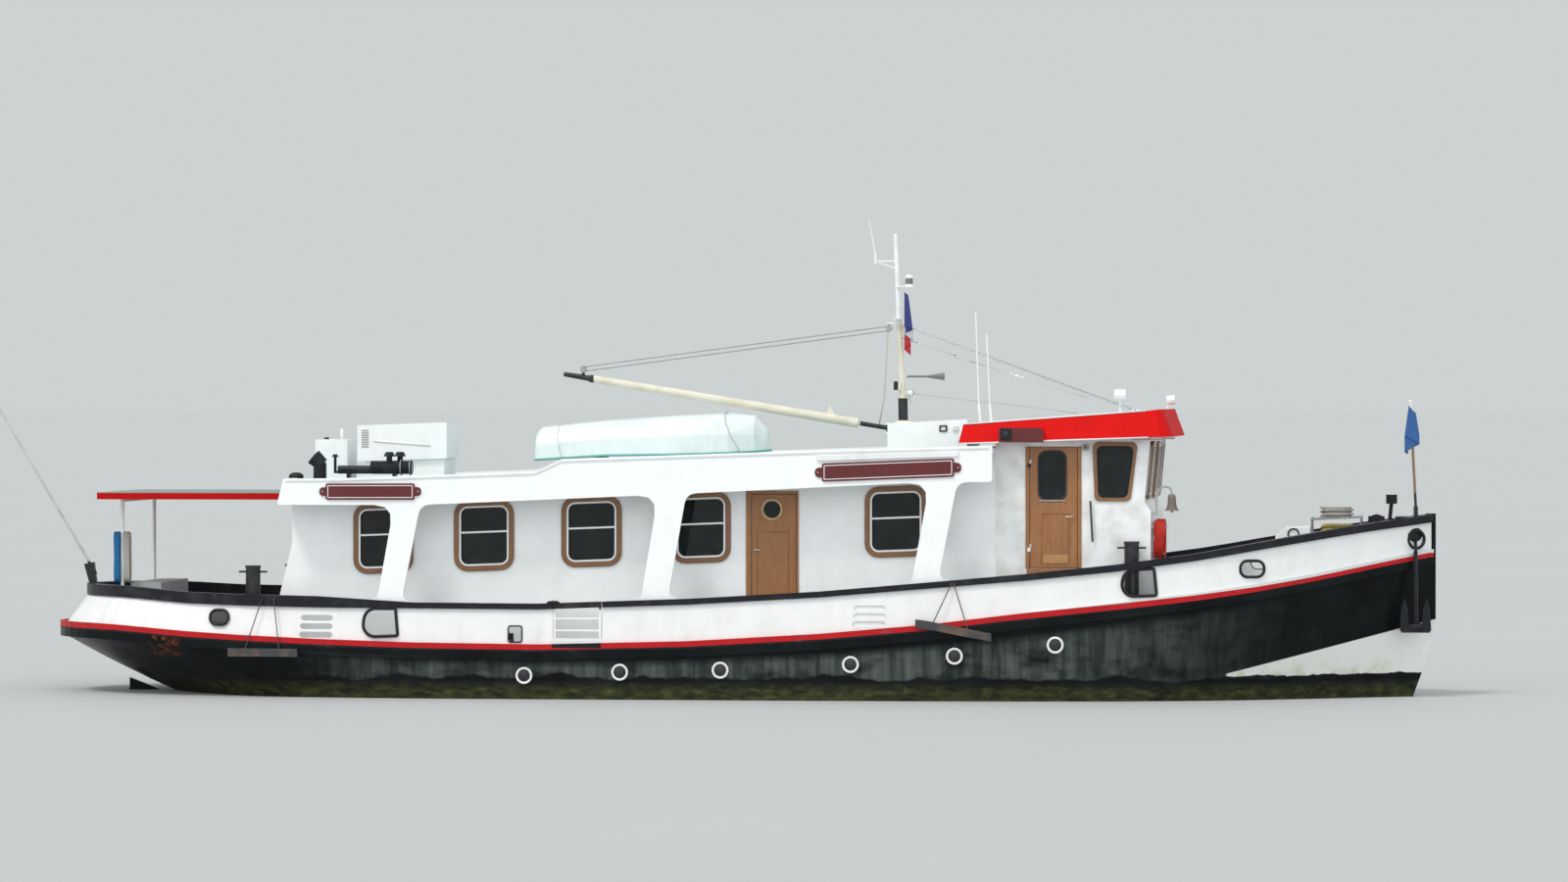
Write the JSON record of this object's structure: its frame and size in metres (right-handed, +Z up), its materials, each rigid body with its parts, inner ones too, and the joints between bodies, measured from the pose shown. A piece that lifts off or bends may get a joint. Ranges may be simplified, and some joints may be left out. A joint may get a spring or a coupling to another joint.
{
  "type": "sightseeing boat",
  "caption": "Converted coaster with long saloon house, raised wheelhouse, mast and derrick boom, dinghy on the roof.",
  "frame": {"origin": "at the waterline on the centreline, amidships", "axes": "+X to the bow, +Y to port, +Z up"},
  "size_m": [23.911, 5.3883, 9.7816],
  "materials": {
    "hull_paint": "semi-gloss black",
    "black_steel": "satin black",
    "red_paint": "gloss red",
    "white_paint": "gloss white",
    "deck_paint": "matt grey non-slip",
    "steel": "galvanised",
    "dinghy_shell": "white with sea-green keel and gunwale",
    "varnished_wood": "varnished mahogany",
    "bronze": "cast bronze",
    "brass": "tarnished",
    "flag_cloth": "limp tricolour bunting",
    "pennant_cloth": "limp blue bunting",
    "red_hose": "red hose",
    "blue_rope": "laid rope",
    "pale_rope": "laid rope",
    "yellow_rope": "laid rope"
  },
  "bodies": {
    "boat": {"hull": "hull_paint", "main_deck": "deck_paint", "rail_aft": "hull_paint", "rail_fore": "hull_paint", "bulwark_stern": "white_paint", "bulwark_aft_starboard": "white_paint", "bulwark_aft_port": "white_paint", "bulwark_middle_starboard": "white_paint", "bulwark_middle_port": "white_paint", "bulwark_fore_starboard": "white_paint", "bulwark_fore_port": "white_paint", "strake_red": "red_paint", "house_side_starboard": "white_paint", "house_side_port": "white_paint", "house_aft_wall": "white_paint", "house_roof": "white_paint", "screen_starboard": "white_paint", "screen_port": "white_paint", "wheelhouse_side_starboard": "white_paint", "wheelhouse_side_port": "white_paint", "wheelhouse_front": "white_paint", "wheelhouse_bulkhead": "white_paint", "wheelhouse_roof": "white_paint", "visor": "red_paint", "mast_casing": "white_paint", "mast": "white_paint", "forestays": "steel", "awning": "red_paint", "deck_box": "white_paint", "dinghy": "dinghy_shell", "roof_locker": "white_paint", "roof_cabinet": "white_paint", "cowl_vent": "black_steel", "exhaust_pipe": "black_steel", "windlass": "black_steel", "anchor_starboard": "black_steel", "anchor_port": "black_steel", "bow_staff": "varnished_wood", "pennant": "pennant_cloth", "ensign_staff": "steel", "flag": "flag_cloth", "bell": "brass", "hose_coil": "red_hose", "rope_hank_blue": "blue_rope", "rope_hank_white": "pale_rope", "rope_rack": "steel", "rope_coil_yellow": "yellow_rope", "rope_coil_grey": "pale_rope", "fender_aft": "varnished_wood", "fender_fore": "varnished_wood"},
    "propeller": {"propeller": "bronze"},
    "rudder": {"rudder": "hull_paint"},
    "boom": {"boom": "white_paint", "topping_lift": "steel"},
    "saloon_door_starboard": {"saloon_door_starboard": "varnished_wood"},
    "saloon_door_port": {"saloon_door_port": "varnished_wood"},
    "wheelhouse_door_starboard": {"wheelhouse_door_starboard": "varnished_wood"},
    "wheelhouse_door_port": {"wheelhouse_door_port": "varnished_wood"},
    "gate_starboard": {"gate_starboard": "white_paint"},
    "gate_port": {"gate_port": "white_paint"}
  },
  "joints": [
    {"name": "propeller_spin", "type": "hinge", "parent": "boat", "child": "propeller", "pos_m": [-8.72, 0, -1.18], "axis": [1, 0, 0], "continuous": true},
    {"name": "rudder_turn", "type": "hinge", "parent": "boat", "child": "rudder", "pos_m": [-9.42, 0, -1], "axis": [0, 0, 1], "range_deg": [-35, 35]},
    {"name": "boom_slew", "type": "hinge", "parent": "boat", "child": "boom", "pos_m": [2.37, 0, 4.31], "axis": [0, 0, 1], "range_deg": [-70, 70]},
    {"name": "saloon_door_starboard_swing", "type": "hinge", "parent": "boat", "child": "saloon_door_starboard", "pos_m": [1.054, -1.772, 1.42], "axis": [0, 0, 1], "range_deg": [-90, 0]},
    {"name": "saloon_door_port_swing", "type": "hinge", "parent": "boat", "child": "saloon_door_port", "pos_m": [1.054, 1.772, 1.42], "axis": [0, 0, 1], "range_deg": [0, 90]},
    {"name": "wheelhouse_door_starboard_swing", "type": "hinge", "parent": "boat", "child": "wheelhouse_door_starboard", "pos_m": [4.802, -1.868, 2.42], "axis": [0, 0, 1], "range_deg": [-95, 0]},
    {"name": "wheelhouse_door_port_swing", "type": "hinge", "parent": "boat", "child": "wheelhouse_door_port", "pos_m": [4.802, 1.868, 2.42], "axis": [0, 0, 1], "range_deg": [0, 95]},
    {"name": "gate_starboard_swing", "type": "hinge", "parent": "boat", "child": "gate_starboard", "pos_m": [-2.756, -2.443, 1.5], "axis": [0, 0, 1], "range_deg": [0, 45]},
    {"name": "gate_port_swing", "type": "hinge", "parent": "boat", "child": "gate_port", "pos_m": [-2.756, 2.443, 1.5], "axis": [0, 0, 1], "range_deg": [-45, 0]}
  ]
}
